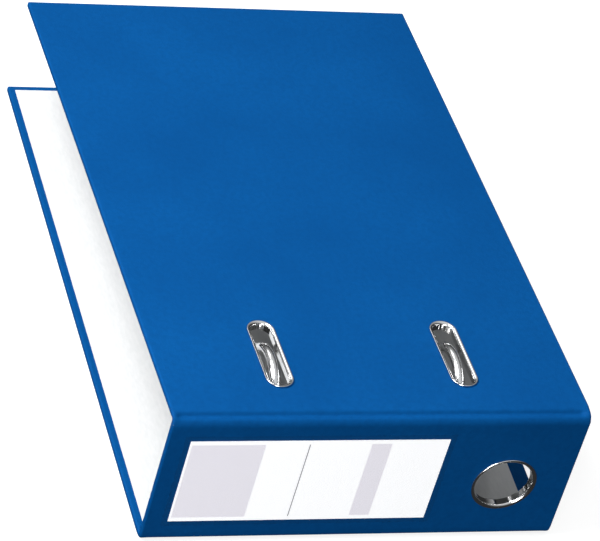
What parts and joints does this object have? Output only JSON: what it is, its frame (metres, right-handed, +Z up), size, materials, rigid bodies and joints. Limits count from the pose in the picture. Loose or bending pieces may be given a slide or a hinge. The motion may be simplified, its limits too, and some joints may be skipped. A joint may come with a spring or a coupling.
{
  "type": "lever arch file",
  "caption": "Lever arch file: blue covers hinged to a labelled spine with a finger ring, slotted front cover over wire arches, lever and compressor bar.",
  "frame": {"origin": "centre of the closed file's footprint, on the surface that the back cover lies on", "axes": "+Z up through the closed file, +Y from the spine to the fore edge, +X along the spine from the label to the finger ring"},
  "size_m": [0.18, 0.2856, 0.0697],
  "materials": {
    "board_grey": "plain grey board",
    "cover_blue": "satin, finely grained foil laminated on paper",
    "lining_white": "smooth white lining paper",
    "chrome": "bright plated",
    "nickel_steel": "bright nickel-plated pressed steel",
    "rivet_steel": "plated, slightly dull",
    "label_paper": "white label with pale grey fields",
    "clear_film": "clear glossy film",
    "roller_nylon": "natural nylon"
  },
  "bodies": {
    "back": {"back_board": "board_grey", "back_wrap": "cover_blue", "back_lining": "lining_white", "back_hinge_cloth": "cover_blue", "back_hinge_lining": "lining_white", "base_plate": "nickel_steel", "cover_rivets": "rivet_steel", "lever_bracket": "nickel_steel", "bracket_rivets": "rivet_steel", "lever_pin": "rivet_steel", "post_left": "chrome", "post_right": "chrome"},
    "spine": {"spine_board": "board_grey", "spine_wrap": "cover_blue", "spine_lining": "lining_white", "front_hinge_cloth": "cover_blue", "front_hinge_lining": "lining_white", "finger_ring": "chrome", "finger_ring_washer": "chrome", "spine_label": "label_paper", "label_pocket": "clear_film"},
    "front": {"front_board": "board_grey", "front_wrap": "cover_blue", "front_lining": "lining_white", "slot_rim_left": "chrome", "slot_rim_right": "chrome", "slot_washer_left": "chrome", "slot_washer_right": "chrome"},
    "arches": {"arch_wire": "chrome"},
    "lever": {"lever": "nickel_steel", "roller_axle": "rivet_steel"},
    "roller": {"roller": "roller_nylon"},
    "compressor": {"compressor_bar": "nickel_steel"}
  },
  "joints": [
    {"name": "spine_hinge", "type": "hinge", "parent": "back", "child": "spine", "pos_m": [0, -0.14085, 0.0013], "axis": [1, 0, 0], "range_deg": [0, 90], "deforming": ["back_hinge_cloth", "back_hinge_lining"]},
    {"name": "front_hinge", "type": "hinge", "parent": "spine", "child": "front", "pos_m": [0, -0.14085, 0.0687], "axis": [1, 0, 0], "range_deg": [0, 93.55], "deforming": ["front_hinge_cloth", "front_hinge_lining"]},
    {"name": "arch_swing", "type": "hinge", "parent": "back", "child": "arches", "pos_m": [0, -0.12315, 0.008], "axis": [1, 0, 0], "range_deg": [0, 55]},
    {"name": "lever_lift", "type": "hinge", "parent": "back", "child": "lever", "pos_m": [0, -0.10215, 0.014], "axis": [-1, 0, 0], "range_deg": [0, 75]},
    {"name": "roller_spin", "type": "hinge", "parent": "lever", "child": "roller", "pos_m": [0, -0.11115, 0.0136], "axis": [1, 0, 0], "continuous": true},
    {"name": "compressor_slide", "type": "slide", "parent": "back", "child": "compressor", "axis": [0, 0, 1], "range_m": [0, 0.04]}
  ],
  "couplings": [
    {"joint": "arch_swing", "follows": "spine_hinge", "ratio": 0.6111},
    {"joint": "lever_lift", "follows": "spine_hinge", "ratio": 0.8333}
  ]
}
